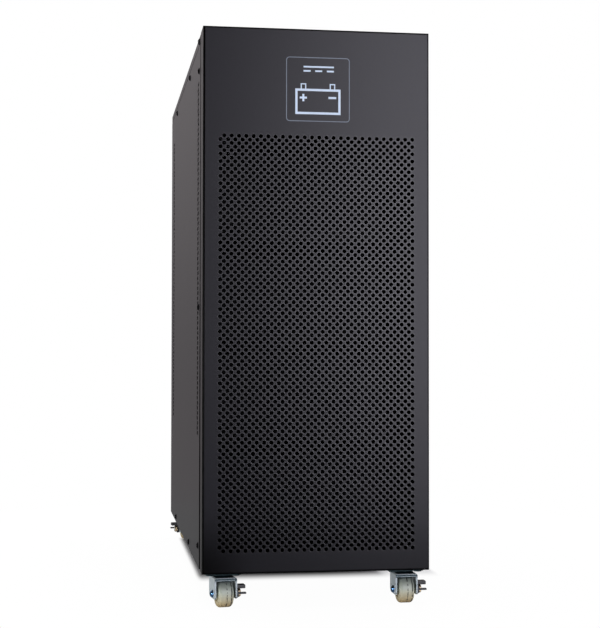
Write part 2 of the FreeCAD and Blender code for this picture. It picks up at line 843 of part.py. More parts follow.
def caster_places():
    """Each caster's name, swivel axis and angle. The rear pair is the front pair turned half round."""
    y = front + caster_inset
    back = rear - caster_inset
    return {
        "front_left": (-caster_x, y, left_swivel),
        "front_right": (caster_x, y, right_swivel),
        "rear_left": (-caster_x, back, left_swivel + 180),
        "rear_right": (caster_x, back, right_swivel + 180),
    }


def bolt_places():
    """Bolts of all the caster plates."""
    half = bolt_step / 2
    places = []
    for x, y, angle in caster_places().values():
        places += [(x + dx, y + dy) for dx in (-half, half) for dy in (-half, half)]
    return places


def caster_bolts():
    """Bolts through the plates and the base tray, heads below."""
    bolts = []
    length = plate_sheet + base_sheet + bolt_nut_height + bolt_spare
    for x, y in bolt_places():
        head = rod(bolt_head, Vector(x, y, plate_foot - bolt_head_height), Z_AXIS, bolt_head_height)
        bolts.append(head.fuse(rod(bolt_diameter, Vector(x, y, plate_foot), Z_AXIS, length)).removeSplitter())
    return bolts


def caster_nuts():
    """Nuts of those bolts, on the base tray's floor."""
    nuts = []
    for x, y in bolt_places():
        start = Vector(x, y, foot + base_sheet)
        bore = rod(bolt_diameter + 2 * fit, start, Z_AXIS, bolt_nut_height)
        nuts.append(hexagon(bolt_nut_flats, start, Z_AXIS * bolt_nut_height).cut(bore))
    return nuts


def swivel_plate():
    """Square top plate with its bolt holes and a countersunk seat for the kingpin."""
    plate = block(about(0, plate_size), about(0, plate_size), (plate_foot, foot))
    corners = [edge for edge in plate.Edges if abs(edge.tangentAt(0).z) > 0.5]
    plate = plate.makeFillet(plate_corner, corners)
    half = bolt_step / 2
    holes = [rod(bolt_diameter + 2 * fit, Vector(dx, dy, plate_foot - over), Z_AXIS, plate_sheet + 2 * over)
             for dx in (-half, half) for dy in (-half, half)]
    return plate.cut(Part.makeCompound(holes + [kingpin_shape(fit)]))


def swivel_race():
    """Race housing that the fork turns under, fixed below the plate."""
    radius = race_diameter / 2
    bore = kingpin_diameter / 2 + fit
    low = crown_top + race_play
    turn = race_round * (1 - math.sqrt(0.5))
    bottom_arc = ((low + turn, radius - turn), (low + race_round, radius))
    profile = [(low, bore), (low, radius - race_round), bottom_arc, (plate_foot, radius), (plate_foot, bore)]
    return turned(profile, Vector(0, 0, 0), Z_AXIS)


def kingpin_shape(clearance):
    """Rivet that the fork swivels on: headed under the crown, spread into the plate above."""
    radius = kingpin_diameter / 2 + clearance
    head = kingpin_head / 2 + clearance
    low = crown_foot - race_play
    flare = plate_sheet - 2 * seat
    high = foot - seat
    profile = [(low - kingpin_head_height, 0), (low - kingpin_head_height, head), (low, head), (low, radius),
               (high - flare, radius), (high, radius + flare), (high, 0)]
    return turned(profile, Vector(0, 0, 0), Z_AXIS)


def caster_fork():
    """Pressed fork: a crown with a lip before the wheel, and two straight legs, from one sheet."""
    outer = wheel_width / 2 + hub_reach + hub_play + fork_sheet
    inner = outer - fork_sheet
    nose = -trail - fork_front
    low = wheel_radius - fork_drop
    body = block((-outer, outer), (nose, fork_rear), (low, crown_top))
    for y, radius in ((nose, fork_toe), (fork_rear, fork_heel)):
        corner = [edge for edge in body.Edges if lies_at(edge, 1, y) and lies_at(edge, 2, low)]
        body = body.makeFillet(radius, corner)
    rims = [edge for edge in body.Edges if lies_at(edge, 2, crown_top) and not lies_at(edge, 1, fork_rear)]
    body = body.makeFillet(fold + fork_sheet, rims)
    behind = fork_rear + over
    gap = block((-inner, inner), (nose + fork_sheet, behind), (low - over, crown_foot))
    roof = [edge for edge in gap.Edges if lies_at(edge, 2, crown_foot) and not lies_at(edge, 1, behind)]
    gap = gap.makeFillet(fold, roof)
    mouth = block((-inner, inner), (nose - over, nose + fork_sheet + over),
                  (low - over, crown_foot - fork_lip))
    pin = rod(kingpin_diameter + 2 * running, Vector(0, 0, 0), Z_AXIS, 2 * crown_top)
    axle_hole = rod(axle_diameter + 2 * fit, Vector(-2 * outer, -trail, wheel_radius), X_AXIS, 4 * outer)
    return body.cut(gap).cut(mouth).cut(pin).cut(axle_hole)


def lever_inside():
    """Inner face of the brake lever, from the middle of the wheel."""
    return wheel_width / 2 + hub_reach + hub_play + fork_sheet + lever_play


def nut_inside():
    """Inner face of the axle nut, from the middle of the wheel."""
    return lever_inside() + lever_sheet + lever_play


def caster_axle():
    """Axle with a domed head on the inner leg and a thread beyond the nut."""
    leg = lever_inside() - lever_play
    radius = axle_diameter / 2
    head = axle_head / 2
    tip = nut_inside() + nut_height
    profile = [(tip, 0), (tip, radius), (-leg, radius), (-leg, head), dome(-leg, -axle_head_height, head)]
    return turned(profile, Vector(0, -trail, wheel_radius), X_AXIS)


def axle_nut():
    """Nut that holds the brake lever on the axle."""
    start = Vector(nut_inside(), -trail, wheel_radius)
    bore = rod(axle_diameter + 2 * fit, start, X_AXIS, nut_height)
    return hexagon(nut_flats, start, X_AXIS * nut_height).cut(bore)


def caster_wheel():
    """Moulded wheel with rounded shoulders and a dished web between rim and hub."""
    half = wheel_width / 2
    hub = half + hub_reach
    bore = axle_diameter / 2 + running
    rim = wheel_radius - wheel_edge - rim_depth
    web = half - wheel_dish
    turn = wheel_edge * (1 - math.sqrt(0.5))
    left_arc = ((-half + turn, wheel_radius - turn), (-half + wheel_edge, wheel_radius))
    right_arc = ((half - turn, wheel_radius - turn), (half, wheel_radius - wheel_edge))
    profile = [(-hub, bore), (-hub, hub_radius), (-web, hub_radius), (-web, rim), (-half, rim),
               (-half, wheel_radius - wheel_edge), left_arc, (half - wheel_edge, wheel_radius), right_arc,
               (half, rim), (web, rim), (web, hub_radius), (hub, hub_radius), (hub, bore)]
    return turned(profile, Vector(0, -trail, wheel_radius), X_AXIS)


def brake_lever():
    """Lever on the axle with an upper pedal to press and a lower prong to lift."""
    inside = lever_inside()
    plate = (inside, inside + lever_sheet)
    reach = (inside, inside + lever_sheet + pedal_reach)
    pedal_z = (wheel_radius + pedal_low, wheel_radius + pedal_low + pedal_thickness)
    prong_y = (-trail - prong_front, -trail - prong_front + prong_depth)
    hub = rod(2 * lever_hub, Vector(inside, -trail, wheel_radius), X_AXIS, lever_sheet)
    arm = block(plate, about(-trail, lever_arm), (wheel_radius, pedal_z[1]))
    spur = block(plate, (prong_y[0], -trail), about(wheel_radius, lever_spur))
    pedal = block(reach, about(-trail, lever_arm), pedal_z)
    prong_foot = wheel_radius + prong_low
    prong = block(reach, prong_y, (prong_foot, prong_foot + prong_thickness))
    pedal = round_edges(pedal, pedal_round, lambda edge: lies_at(edge, 0, inside))
    tip = [edge for edge in prong.Edges if lies_at(edge, 0, reach[1])]
    prong = prong.makeFillet(min(pedal_round, fillet_limit * prong_thickness), tip)
    bore = rod(axle_diameter + 2 * running, Vector(inside - over, -trail, wheel_radius), X_AXIS,
               lever_sheet + 2 * over)
    return hub.fuse([arm, spur, pedal, prong]).removeSplitter().cut(bore)


def caster_pieces(make, turns):
    """One piece of every caster, in place: corner name to shape."""
    pieces = {}
    for corner, (x, y, angle) in caster_places().items():
        shape = make()
        if turns:
            shape.rotate(Vector(0, 0, 0), Z_AXIS, angle)
        shape.translate(Vector(x, y, 0))
        pieces[corner] = shape
    return pieces


def casters():
    """The four casters: what is fixed to the base tray as groups, the rest piece by piece."""
    nodes = {
        "caster_plates": Part.makeCompound(list(caster_pieces(swivel_plate, False).values())),
        "caster_races": Part.makeCompound(list(caster_pieces(swivel_race, False).values())),
        "caster_kingpins": Part.makeCompound(list(caster_pieces(lambda: kingpin_shape(0), False).values())),
    }
    makers = {"fork": caster_fork, "axle": caster_axle, "axle_nut": axle_nut, "wheel": caster_wheel,
              "brake_lever": brake_lever}
    for piece, make in makers.items():
        for corner, shape in caster_pieces(make, True).items():
            nodes[corner + "_" + piece] = shape
    return nodes


def cabinet():
    """The cabinet and everything in it."""
    upper, lower = socket_levels()
    nodes = {
        "front_panel": front_panel(),
        "left_side_panel": side_panel(-1),
        "right_side_panel": side_panel(1),
        "top_cover": top_cover(),
        "rear_panel": rear_panel(),
        "base_tray": base_tray(),
        "portal_frame": portal_frame(),
        "left_top_rail": top_rail(-1),
        "right_top_rail": top_rail(1),
        "tray_runners": Part.makeCompound(tray_runners()),
        "side_screws": Part.makeCompound(side_screws()),
        "caster_bolts": Part.makeCompound(caster_bolts()),
        "caster_nuts": Part.makeCompound(caster_nuts()),
        "battery_links": Part.makeCompound(battery_links()),
        "tier_leads": Part.makeCompound(tier_leads()),
        "positive_lead": positive_lead(),
        "negative_lead": negative_lead(),
        "output_leads": Part.makeCompound(output_leads()),
        "breaker_body": breaker_body(),
        "breaker_toggle": breaker_toggle(),
        "fuse_block": fuse_block(),
        "fuse": fuse(),
        "upper_socket": output_socket(upper),
        "lower_socket": output_socket(lower),
        "socket_contacts": Part.makeCompound(socket_contacts()),
        "socket_screws": Part.makeCompound(socket_screws()),
        "earth_stud": earth_stud(),
        "earth_nut": earth_nut(),
    }
    for tier in range(tier_count):
        nodes["battery_tray_%d" % (tier + 1)] = battery_tray(tier)
        nodes["battery_tier_%d" % (tier + 1)] = Part.makeCompound(battery_tier(tier))
    return nodes


os.makedirs("parts", exist_ok=True)
for name, shape in {**cabinet(), **casters()}.items():
    shape.exportStep("parts/" + name + ".step")
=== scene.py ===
"""Looks of the tower battery cabinet: true perforation, print, caster detail, finishes, stage and camera.

Metres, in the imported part's own frame: +Z is up, the perforated front faces -Y.
"""
import json
import math

import bmesh
import bpy
import numpy as np
from mathutils import Matrix, Vector
from mathutils.geometry import delaunay_2d_cdt


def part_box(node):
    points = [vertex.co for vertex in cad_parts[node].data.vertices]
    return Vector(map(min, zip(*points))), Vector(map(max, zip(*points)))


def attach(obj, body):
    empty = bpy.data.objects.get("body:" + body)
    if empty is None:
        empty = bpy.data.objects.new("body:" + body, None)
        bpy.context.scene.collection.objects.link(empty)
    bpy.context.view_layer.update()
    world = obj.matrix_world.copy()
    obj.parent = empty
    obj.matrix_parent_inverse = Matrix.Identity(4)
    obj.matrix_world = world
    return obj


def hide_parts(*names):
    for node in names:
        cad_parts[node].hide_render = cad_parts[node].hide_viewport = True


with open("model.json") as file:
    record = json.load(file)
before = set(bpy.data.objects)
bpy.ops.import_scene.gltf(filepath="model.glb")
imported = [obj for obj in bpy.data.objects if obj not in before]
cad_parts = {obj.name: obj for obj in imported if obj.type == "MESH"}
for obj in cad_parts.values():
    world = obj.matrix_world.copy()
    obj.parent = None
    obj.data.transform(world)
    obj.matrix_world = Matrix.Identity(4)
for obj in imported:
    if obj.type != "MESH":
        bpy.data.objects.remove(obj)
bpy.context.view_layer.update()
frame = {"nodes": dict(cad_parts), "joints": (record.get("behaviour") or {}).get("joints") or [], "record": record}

MM = 0.001
MERGE = 1e-6                  # points closer than this are one point
SHARP = math.radians(35)      # edges that turn more than this stay crisp
SHARP_FLAT = math.radians(8)  # the same on a flat panel, so that its folds don't tilt its shading

# Cabinet, read from the frame
panel_low, panel_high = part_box("front_panel")
side_low, side_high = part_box("left_side_panel")
HALF = panel_high.x
FRONT = panel_low.y
FOOT = panel_low.z
TOP = panel_high.z
RETURN = panel_high.y
REAR = side_high.y
SKIN = side_high.x - side_low.x

# Front panel
FOLD = 2.0 * MM               # outside radius of a fold
FOOT_RETURN = 8.0 * MM        # depth of the folded edge along the bottom
FADE = 80.0 * MM              # height over which painted shade at the front's foot fades out and the gloss comes up
EDGE = 0.02 * MM              # depth at which a cut edge turns from the face's gloss to black, a painted shade
SEAM = 0.5 * MM               # room between the side returns and the side panels
LEAN_FOOT = 1.0 * MM          # side returns stand back by this at the foot of their far edge
LEAN_TOP = 0.3 * MM           # and by this at its top
HOLE = 2.0 * MM               # radius of a perforation
MOUTH = 0.35 * MM             # width of the painted shade ring that stands for its rolled edge
RIM = 1.2 * MM                # width of its whole rim, on which a highlight is painted
PUNCH_TAPER = 0.14            # share by which a punched hole narrows through the sheet
PITCH = 8.0 * MM              # holes of one row
HOLES_PER_ROW = 27
HOLE_ROWS = 113
FIRST_ROW = 25.0 * MM         # lowest row above the panel's foot
FIRST_HOLE = -102.0 * MM      # its first hole; the next row starts half a pitch before it

# Vent strips of the side panels
VENT_PITCH = 6.35 * MM
VENT_ROW = 5.6 * MM
VENT_HOLE = 2.7 * MM
VENT_COLUMNS = 3
VENT_ROWS = 71
VENT_FIRST = 148.0 * MM       # lowest row above the panel's foot
FRONT_VENT = 69.0 * MM        # strip's line behind the front face
REAR_VENT = 58.0 * MM         # strip's line before the rear face

# Print on the front: places in millimetres across it and above its foot, boxes as left, low, right, high
PRINT = 0.05 * MM             # thickness of the ink
FRAME_BOX = (-34.1, 490.9, 35.4, 560.6)
FRAME_CORNER = 3.3
FRAME_LINE = 0.75 * MM
CASE_BOX = (-23.2, 499.6, 24.4, 525.1)
CASE_LINE = 2.5 * MM
POST_LEFTS = (-17.9, 14.2)
POST_WIDTH = 4.9
POST_FOOT = 526.2
POST_TOP = 531.6
POST_LINE = 1.2 * MM
PLUS_MIDDLE = (-15.6, 516.5)
PLUS_ARM = 4.0
PLUS_HALF = 1.1               # half the width of an arm
MINUS_BOX = (12.2, 515.7, 20.8, 518.0)
BAR_BOX = (-15.4, 549.6, 18.2, 551.4)
DASH_LEFTS = (-15.4, -2.5, 10.4)
DASH_WIDTH = 7.8
DASH_FOOT = 545.0
DASH_TOP = 546.8

# Button-headed side screws
SCREW_HEAD = 3.8 * MM         # radius of the head
SCREW_RISE = 2.0 * MM         # its height over the panel's face
SCREW_SHANK = 2.0 * MM
SCREW_LENGTH = 8.0 * MM
SCREW_ROOM = 0.1 * MM
RECESS_REACH = 2.1 * MM       # of the cross in the head, from its middle
RECESS_WIDTH = 0.55 * MM      # half the width of a slot
RECESS_DEPTH = 1.2 * MM

# Casters
LEG_OUTSIDE = 12.4 * MM       # fork's outer faces from the middle of the wheel
AXLE = 3.0 * MM
AXLE_HEAD = 4.3 * MM
AXLE_HEAD_RISE = 3.0 * MM
NUT_INSIDE = 15.0 * MM        # nut's seat from the middle of the wheel
NUT_HEIGHT = 3.4 * MM
NUT_FLATS = 8.0 * MM
LIP_SHADE_LINE = 31.15 * MM       # height of a painted shade line across a fork's turned edge
LIP_SHADE_LINE_HALF = 0.8 * MM
LIP_FOOT = 29.45 * MM         # height of the painted shade line under that edge
LIP_FOOT_HALF = 0.45 * MM
PLATE_FOOT = 32.85 * MM       # height from which painted shade darkens the zinc
PLATE_FULL = 32.98 * MM       # and at which it is fully so
PLATE_TOP = 45.0 * MM
PARTING_LINE = 0.6 * MM       # dark lines of the tread, from the middle of the wheel
SHOULDER_LINE = 5.6 * MM

# Shadow on the floor, painted by place: it shows only in a patch under the part; its darkness is the lamps' own
SHADOW_START = 180.0 * MM     # behind the front, where it begins
SHADOW_FULL = 240.0 * MM      # and where it is full
SHADOW_REAR = 30.0 * MM       # before the rear, where it starts to fade
SHADOW_SHIFT = 36.2 * MM      # of its middle to the right
SHADOW_EDGE = 27.3 * MM       # past half the cabinet's width, where it ends
SHADOW_CORE = 18.3 * MM       # and where it is full


def grid_faces(rows, columns, wrap_rows=False, wrap_columns=False):
    """Quads of a grid of points that is numbered row by row."""
    r = np.arange(rows if wrap_rows else rows - 1)[:, None]
    c = np.arange(columns if wrap_columns else columns - 1)[None, :]
    below = r * columns
    above = (r + 1) % rows * columns
    ahead = (c + 1) % columns
    quads = np.broadcast_arrays(below + c, below + ahead, above + ahead, above + c)
    return np.stack(quads, -1).reshape(-1, 4)


def joined(*parts):
    """Several (points, faces) parts as one, with the later parts' faces counted on."""
    points = []
    faces = []
    base = 0
    for part_points, part_faces in parts:
        points.append(np.asarray(part_points, float).reshape(-1, 3))
        faces += [np.asarray(group) + base for group in part_faces]
        base += len(points[-1])
    return np.concatenate(points), faces


def across_axis(axis):
    """Two unit directions square to an axis and to each other."""
    axis = np.asarray(axis, float)
    side = np.array((0.0, 0.0, 1.0)) if abs(axis[2]) < 0.9 else np.array((1.0, 0.0, 0.0))
    first = np.cross(side, axis)
    first /= np.linalg.norm(first)
    return first, np.cross(axis, first)


def turned(profile, origin, axis, steps, closed=False, swell=None):
    """Profile of (along, radius) points carried round an axis.

    A point is origin + along * axis + radius * (cos t * u + sin t * v). swell(along, radius, t) gives
    changed (along, radius) arrays, for what isn't round. A closed profile joins its last point to its first.
    """
    profile = np.asarray(profile, float)
    t = np.arange(steps) * 2 * math.pi / steps
    along = np.repeat(profile[:, :1], steps, 1)
    radius = np.repeat(profile[:, 1:], steps, 1)
    if swell:
        along, radius = swell(along, radius, t[None, :])
    u, v = across_axis(axis)
    ring = np.cos(t)[:, None] * u + np.sin(t)[:, None] * v
    points = np.asarray(origin) + along[..., None] * np.asarray(axis) + radius[..., None] * ring
    return points.reshape(-1, 3), [grid_faces(len(profile), steps, closed, True)]


def arc(centre, radius, start, end, count):
    """Points of an arc about a centre in its own plane, angles in degrees."""
    t = np.radians(np.linspace(start, end, count))
    return np.stack([centre[0] + radius * np.cos(t), centre[1] + radius * np.sin(t)], 1)


def on_front(points, depth):
    """Points (x, z) of the front's plane at a depth behind its face."""
    points = np.asarray(points)
    return np.stack([points[..., 0], np.full(points.shape[:-1], FRONT + depth), points[..., 1]], -1)


def on_side(side):
    """Placing function for points (y, z) of a side panel's plane at a depth below its face."""
    def place(points, depth):
        points = np.asarray(points)
        x = np.full(points.shape[:-1], side * (HALF - depth))
        return np.stack([x, points[..., 0], points[..., 1]], -1)
    return place


def filled(outline, holes, place, depth):
    """Flat triangles between an outline and the holes in it, by constrained Delaunay triangulation."""
    loops = [np.asarray(loop) for loop in (outline, *holes)]
    ends = np.cumsum([len(loop) for loop in loops])
    numbers = [list(range(end - len(loop), end)) for loop, end in zip(loops, ends)]
    flat = [Vector(point) for point in (np.concatenate(loops) / MM).tolist()]
    leave_holes_open = 2
    points, _, faces, *_ = delaunay_2d_cdt(flat, [], numbers, leave_holes_open, 1e-6)
    return place(np.array([tuple(point) for point in points]) * MM, depth), [np.array(faces)]


def wall(near, far, place, near_depth, far_depth):
    """Quads between a loop at one depth and its partner at another."""
    points = np.concatenate([place(near, near_depth), place(far, far_depth)])
    return points, [grid_faces(2, len(near), False, True)]


def perforated(centres, cell, hole, place):
    """Sheet of cells, each a polygon round a many-sided hole, with both faces and the holes' walls.

    Point = centre + offset, for the cell's corners and the hole's rim, which is a little narrower at the
    back. The hole has a whole number of rim points for each corner, and the cells tile.
    """
    corners = len(cell)
    rim = len(hole)
    share = rim // corners
    offsets = np.concatenate([cell, hole])
    flat = centres[:, None, :] + offsets[None, :, :]
    drawn = np.concatenate([cell, hole * (1 - PUNCH_TAPER)])
    points = np.concatenate([place(flat, 0.0), place(centres[:, None, :] + drawn[None, :, :], SKIN)], 1)
    corner = np.arange(corners)[:, None]
    back = np.arange(share, -1, -1)[None, :]
    face = np.concatenate([corner, (corner + 1) % corners, corners + (corner * share + back) % rim], 1)
    step = np.arange(rim)
    after = (step + 1) % rim
    far = corners + rim
    walls = corners + np.stack([step, after, after + far, step + far], 1)
    base = (np.arange(len(centres)) * 2 * far)[:, None, None]
    groups = [base + face, base + far + face, base + walls]
    return points.reshape(-1, 3), [group.reshape(-1, group.shape[-1]) for group in groups]


def piece(name, part, look, body="cabinet", stands_for=(), sharp=SHARP):
    """Mesh piece from (points, faces): merged, closed, faces outwards, smooth up to a sharp angle.

    Its look names its finish: the finish of one of the part's slots, or an ink.
    """
    points, groups = part
    mesh = bpy.data.meshes.new(name)
    corners = np.concatenate([group.ravel() for group in groups])
    sizes = np.concatenate([np.full(len(group), group.shape[1]) for group in groups])
    mesh.vertices.add(len(points))
    mesh.vertices.foreach_set("co", points.ravel())
    mesh.loops.add(len(corners))
    mesh.loops.foreach_set("vertex_index", corners)
    mesh.polygons.add(len(sizes))
    mesh.polygons.foreach_set("loop_start", np.cumsum(sizes) - sizes)
    mesh.update(calc_edges=True)
    work = bmesh.new()
    work.from_mesh(mesh)
    bmesh.ops.remove_doubles(work, verts=work.verts, dist=MERGE)
    bmesh.ops.recalc_face_normals(work, faces=work.faces)
    work.to_mesh(mesh)
    work.free()
    mesh.shade_smooth()
    mesh.set_sharp_from_angle(angle=sharp)
    mesh.materials.append(FINISH[look])
    made = bpy.data.objects.new(name, mesh)
    bpy.context.scene.collection.objects.link(made)
    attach(made, body)
    look not in INKS
    if stands_for:
        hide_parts(*stands_for)
    return made


class Shade:
    """A socket in a material's nodes. Operators on it add Math nodes; node() adds any other node."""

    def __init__(self, tree, socket=None):
        self.tree = tree
        self.socket = socket

    def node(self, kind, settings=(), sockets=(), output=0):
        """A node of some type: its settings are set first, then its sockets' values or links."""
        made = self.tree.nodes.new(kind)
        for name, value in dict(settings).items():
            setattr(made, name, value)
        for name, value in dict(sockets).items():
            self.feed(made.inputs[name], value)
        return Shade(self.tree, made.outputs[output])

    def feed(self, socket, value):
        """Links a Shade to a socket, or sets a plain value on it."""
        if isinstance(value, Shade):
            self.tree.links.new(value.socket, socket)
        else:
            socket.default_value = value

    def math(self, operation, *values, clamp=False):
        """Math node on this value and others."""
        return self.node("ShaderNodeMath", {"operation": operation, "use_clamp": clamp}, enumerate(values))

    def __add__(self, other):
        return self.math("ADD", self, other)

    __radd__ = __add__

    def __sub__(self, other):
        return self.math("SUBTRACT", self, other)

    def __rsub__(self, other):
        return self.math("SUBTRACT", other, self)

    def __mul__(self, other):
        return self.math("MULTIPLY", self, other)

    __rmul__ = __mul__

    def __gt__(self, other):
        return self.math("GREATER_THAN", self, other)

    def __lt__(self, other):
        return self.math("LESS_THAN", self, other)

    def size(self):
        """Absolute value."""
        return self.math("ABSOLUTE", self)

    def most(self, other):
        """The greater of this value and another."""
        return self.math("MAXIMUM", self, other)

    def root(self):
        """Square root."""
        return self.math("SQRT", self)

    def from_whole(self):
        """Signed distance to the nearest whole number."""
        return self.math("FRACT", self + 0.5) - 0.5

    def parts(self):
        """The x, y and z of a vector."""
        return [self.node("ShaderNodeSeparateXYZ", {}, {0: self}, axis) for axis in range(3)]

    def between(self, low, high):
        """0 at low, 1 at high, straight between."""
        return self.math("MULTIPLY_ADD", self, 1 / (high - low), -low / (high - low), clamp=True)

    def noise(self, scale, detail=2.0, roughness=0.5):
        """Noise over these coordinates, about 0 to 1."""
        return self.node("ShaderNodeTexNoise", {}, {"Vector": self, "Scale": scale, "Detail": detail,
                                                    "Roughness": roughness})

    def stretched(self, x, y, z):
        """These coordinates, each axis times its own factor."""
        return self.node("ShaderNodeVectorMath", {"operation": "MULTIPLY"}, {0: self, 1: (x, y, z)})

    def blend(self, dark, light):
        """Colour between two colours, with this value as the share of the second."""
        sockets = {0: self, 6: shown(dark), 7: shown(light)}
        return self.node("ShaderNodeMix", {"data_type": "RGBA"}, sockets, 2)

    def bump(self, strength, depth):
        """Normal of a surface that this value raises by a depth in metres."""
        return self.node("ShaderNodeBump", {}, {"Height": self, "Strength": strength, "Distance": depth})


def shown(colour):
    """Colour with full alpha, or a Shade as it is."""
    return colour if isinstance(colour, Shade) else (*colour, 1.0)


def eased(share):
    """Share from 0 to 1 with soft ends."""
    return share * share * (3.0 - 2.0 * share)


def hole_rims(x, z):
    """Share of gloss painted on the rims of the front's holes as a highlight, and 1 on a painted shade ring round
    each.

    The holes lie where both (x + z) and (x - z), in pitches from the first hole, are whole numbers. The
    painted highlight lies on a rim's left and, lower down the front, on its lower left and upper right.
    """
    across = (x - FIRST_HOLE) * (1 / PITCH)
    above = (z - FOOT - FIRST_ROW) * (1 / PITCH)
    rising = (across + above).from_whole()
    falling = (across - above).from_whole()
    distance = (rising * rising + falling * falling).root() * (PITCH / math.sqrt(2))
    middle_x = x - (rising + falling) * (PITCH / 2)
    middle_z = z - (rising - falling) * (PITCH / 2)
    last = (HOLE_ROWS - 1) * PITCH / 2
    in_rows = (middle_z - FOOT - FIRST_ROW - last / 2).size() < last / 2 + PITCH / 4
    in_field = in_rows * (middle_x.size() < HOLES_PER_ROW * PITCH / 2)
    low = z.between(FOOT + 0.75 * last, FOOT)
    # painted highlight: the rims' gloss, more on their left and, low down, on their lower left
    painted_rim_sheen = 0.55 + low * (rising.size() - falling.size()) * 1.3 - (rising + falling) * 0.2
    rim = eased(distance.between(HOLE + RIM, HOLE + MOUTH)) * in_field
    # second share: painted shade ring round each hole's edge
    return rim * painted_rim_sheen, (distance < HOLE + MOUTH) * in_field


def cabinet_paint(at):
    """Charcoal powder coat: a fine grain in tone, gloss and relief, and a thin clear gloss over it.

    Painted shade: the front loses tone and gloss towards its foot and on its returns, and is black on its folds,
    round its holes and inside the cabinet. A painted highlight of added gloss lies on the rims of its holes.
    """
    grain = at.noise(420.0, 3.0, 0.65)
    drift = at.noise(6.0, 2.0)
    x, y, z = at.parts()
    face = y < FRONT + FOLD
    # painted shade: the front's left, top and bottom folds are painted black
    left = x.between(FOLD * 1.3 - HALF, FOLD - HALF)
    above = z.between(TOP - FOLD * 1.1, TOP - FOLD * 0.8)
    below = z.between(FOOT + FOLD * 1.6, FOOT + FOLD * 0.4)
    fold = left.most(above).most(below) * face
    returns = (y > FRONT + FOLD) * (y < RETURN)
    # painted shade: behind the front's face and inside the cabinet the paint is black, so the holes read dark
    behind_front = (x.size() < HALF - 2 * SKIN) * (y > FRONT + EDGE)
    behind_sides = (x.size() < HALF - EDGE) * (y > RETURN - SEAM)
    within = (y < REAR - 2 * SKIN) * (z > FOOT + 2 * SKIN) * (z < TOP - EDGE)
    # painted highlight on the holes' rims, painted shade round their edges
    rim, hole_edge_shade = hole_rims(x, z)
    # painted shade of the folds, the inside and the holes' edges: no colour and no gloss
    painted_shade = fold.most(behind_front.most(behind_sides) * within).most(hole_edge_shade * face)
    # painted shade: colour and gloss fall away towards the front's foot, most at its left
    foot = eased(z.between(FOOT + FADE, FOOT)) * face
    gloss = (1.0 - foot * (0.35 + 0.6 * eased(x.between(-HALF / 2, -HALF)))) * (1.0 - painted_shade)
    # painted shade on the front's returns
    gloss = gloss * (1.0 - returns * 0.25)
    tone = (grain - 0.5) * 1.4 + drift * 0.5 + 0.25
    paint = tone.blend((0.0014, 0.0014, 0.0034), (0.0042, 0.0040, 0.0072))
    # the coat's extra weight on the holes' rims is a painted highlight
    return {"Base Color": (1.0 - gloss).blend(paint, (0.0, 0.0, 0.0)), "Roughness": 0.38 + grain * 0.1,
            "Specular IOR Level": 0.05, "Coat Weight": gloss * (0.36 + rim * face),
            "Coat Roughness": 0.36, "Normal": grain.bump(0.3, 0.12 * MM)}


def black_screw(at):
    """Black oxide with a trace of oil."""
    grain = at.noise(1800.0)
    return {"Base Color": grain.blend((0.001, 0.001, 0.001), (0.005, 0.005, 0.006)),
            "Roughness": 0.6 + grain * 0.2, "Specular IOR Level": 0.02}


def zinc_plate(at):
    """Bright bluish zinc over pressed steel, clouded, with faint drawing marks.

    Painted shade makes it dark on each caster's fixed plate, in two lines across a fork's turned edge and on
    its front-facing faces; it is polished, bluer and darker on the axles' heads.
    """
    cloud = at.noise(120.0, 3.0)
    marks = at.stretched(60.0, 900.0, 60.0).noise(1.0, 2.0)
    height = at.parts()[2]
    facing = at.node("ShaderNodeTexCoord", output="Normal").parts()[1].size() > 0.8
    # painted shade: two dark lines across the front of a fork's turned edge
    groove = (height - LIP_SHADE_LINE).size() < LIP_SHADE_LINE_HALF
    lip_shade_lines = groove.most((height - LIP_FOOT).size() < LIP_FOOT_HALF)
    # painted shade: the fixed plate under the cabinet is painted dark
    plate_shade = height.between(PLATE_FOOT, PLATE_FULL) * (height < PLATE_TOP)
    head = at.node("ShaderNodeAttribute", {"attribute_name": "head"}, (), "Fac")
    bright = (cloud * 0.7 + marks * 0.3).blend((0.34, 0.42, 0.46), (0.86, 0.93, 0.94))
    # painted shade on the zinc's front-facing faces
    bright = (facing * 0.55).blend(bright, (0.10, 0.12, 0.12))
    dark = plate_shade.most(lip_shade_lines * facing).blend(bright, (0.006, 0.02, 0.024))
    return {"Base Color": head.blend(dark, (0.10, 0.22, 0.42)), "Metallic": 0.6 + head * 0.4,
            "Roughness": (0.34 + cloud * 0.24) * (1.0 - head * 0.5), "Normal": marks.bump(0.15, 0.05 * MM)}


def yellow_zinc(at):
    """Yellow passivated steel."""
    cloud = at.noise(260.0, 3.0)
    return {"Base Color": cloud.blend((0.36, 0.26, 0.13), (0.74, 0.62, 0.42)), "Metallic": 1.0,
            "Roughness": 0.28 + cloud * 0.2}


def brass_stud(at):
    """Plain turned brass, dulled in patches."""
    cloud = at.noise(180.0, 3.0)
    return {"Base Color": cloud.blend((0.42, 0.28, 0.09), (0.80, 0.62, 0.27)), "Metallic": 1.0,
            "Roughness": 0.25 + cloud * 0.2}


def tinned_copper(at):
    """Tin over copper, with the copper showing through in specks."""
    cloud = at.noise(300.0, 4.0)
    return {"Base Color": cloud.blend((0.48, 0.40, 0.33), (0.78, 0.77, 0.74)), "Metallic": 1.0,
            "Roughness": 0.3 + cloud * 0.2}


def moulded(dark, light, scale, rough, gloss=0.4):
    """Moulded plastic between two tones, with a fine sparked texture of a given scale."""
    def make(at):
        grain = at.noise(scale, 2.0)
        drift = at.noise(25.0, 2.0)
        tone = grain * 0.5 + drift * 0.5
        return {"Base Color": tone.blend(dark, light), "Roughness": rough + grain * 0.15,
                "Specular IOR Level": gloss, "Normal": grain.bump(0.2, 0.04 * MM)}
    return make


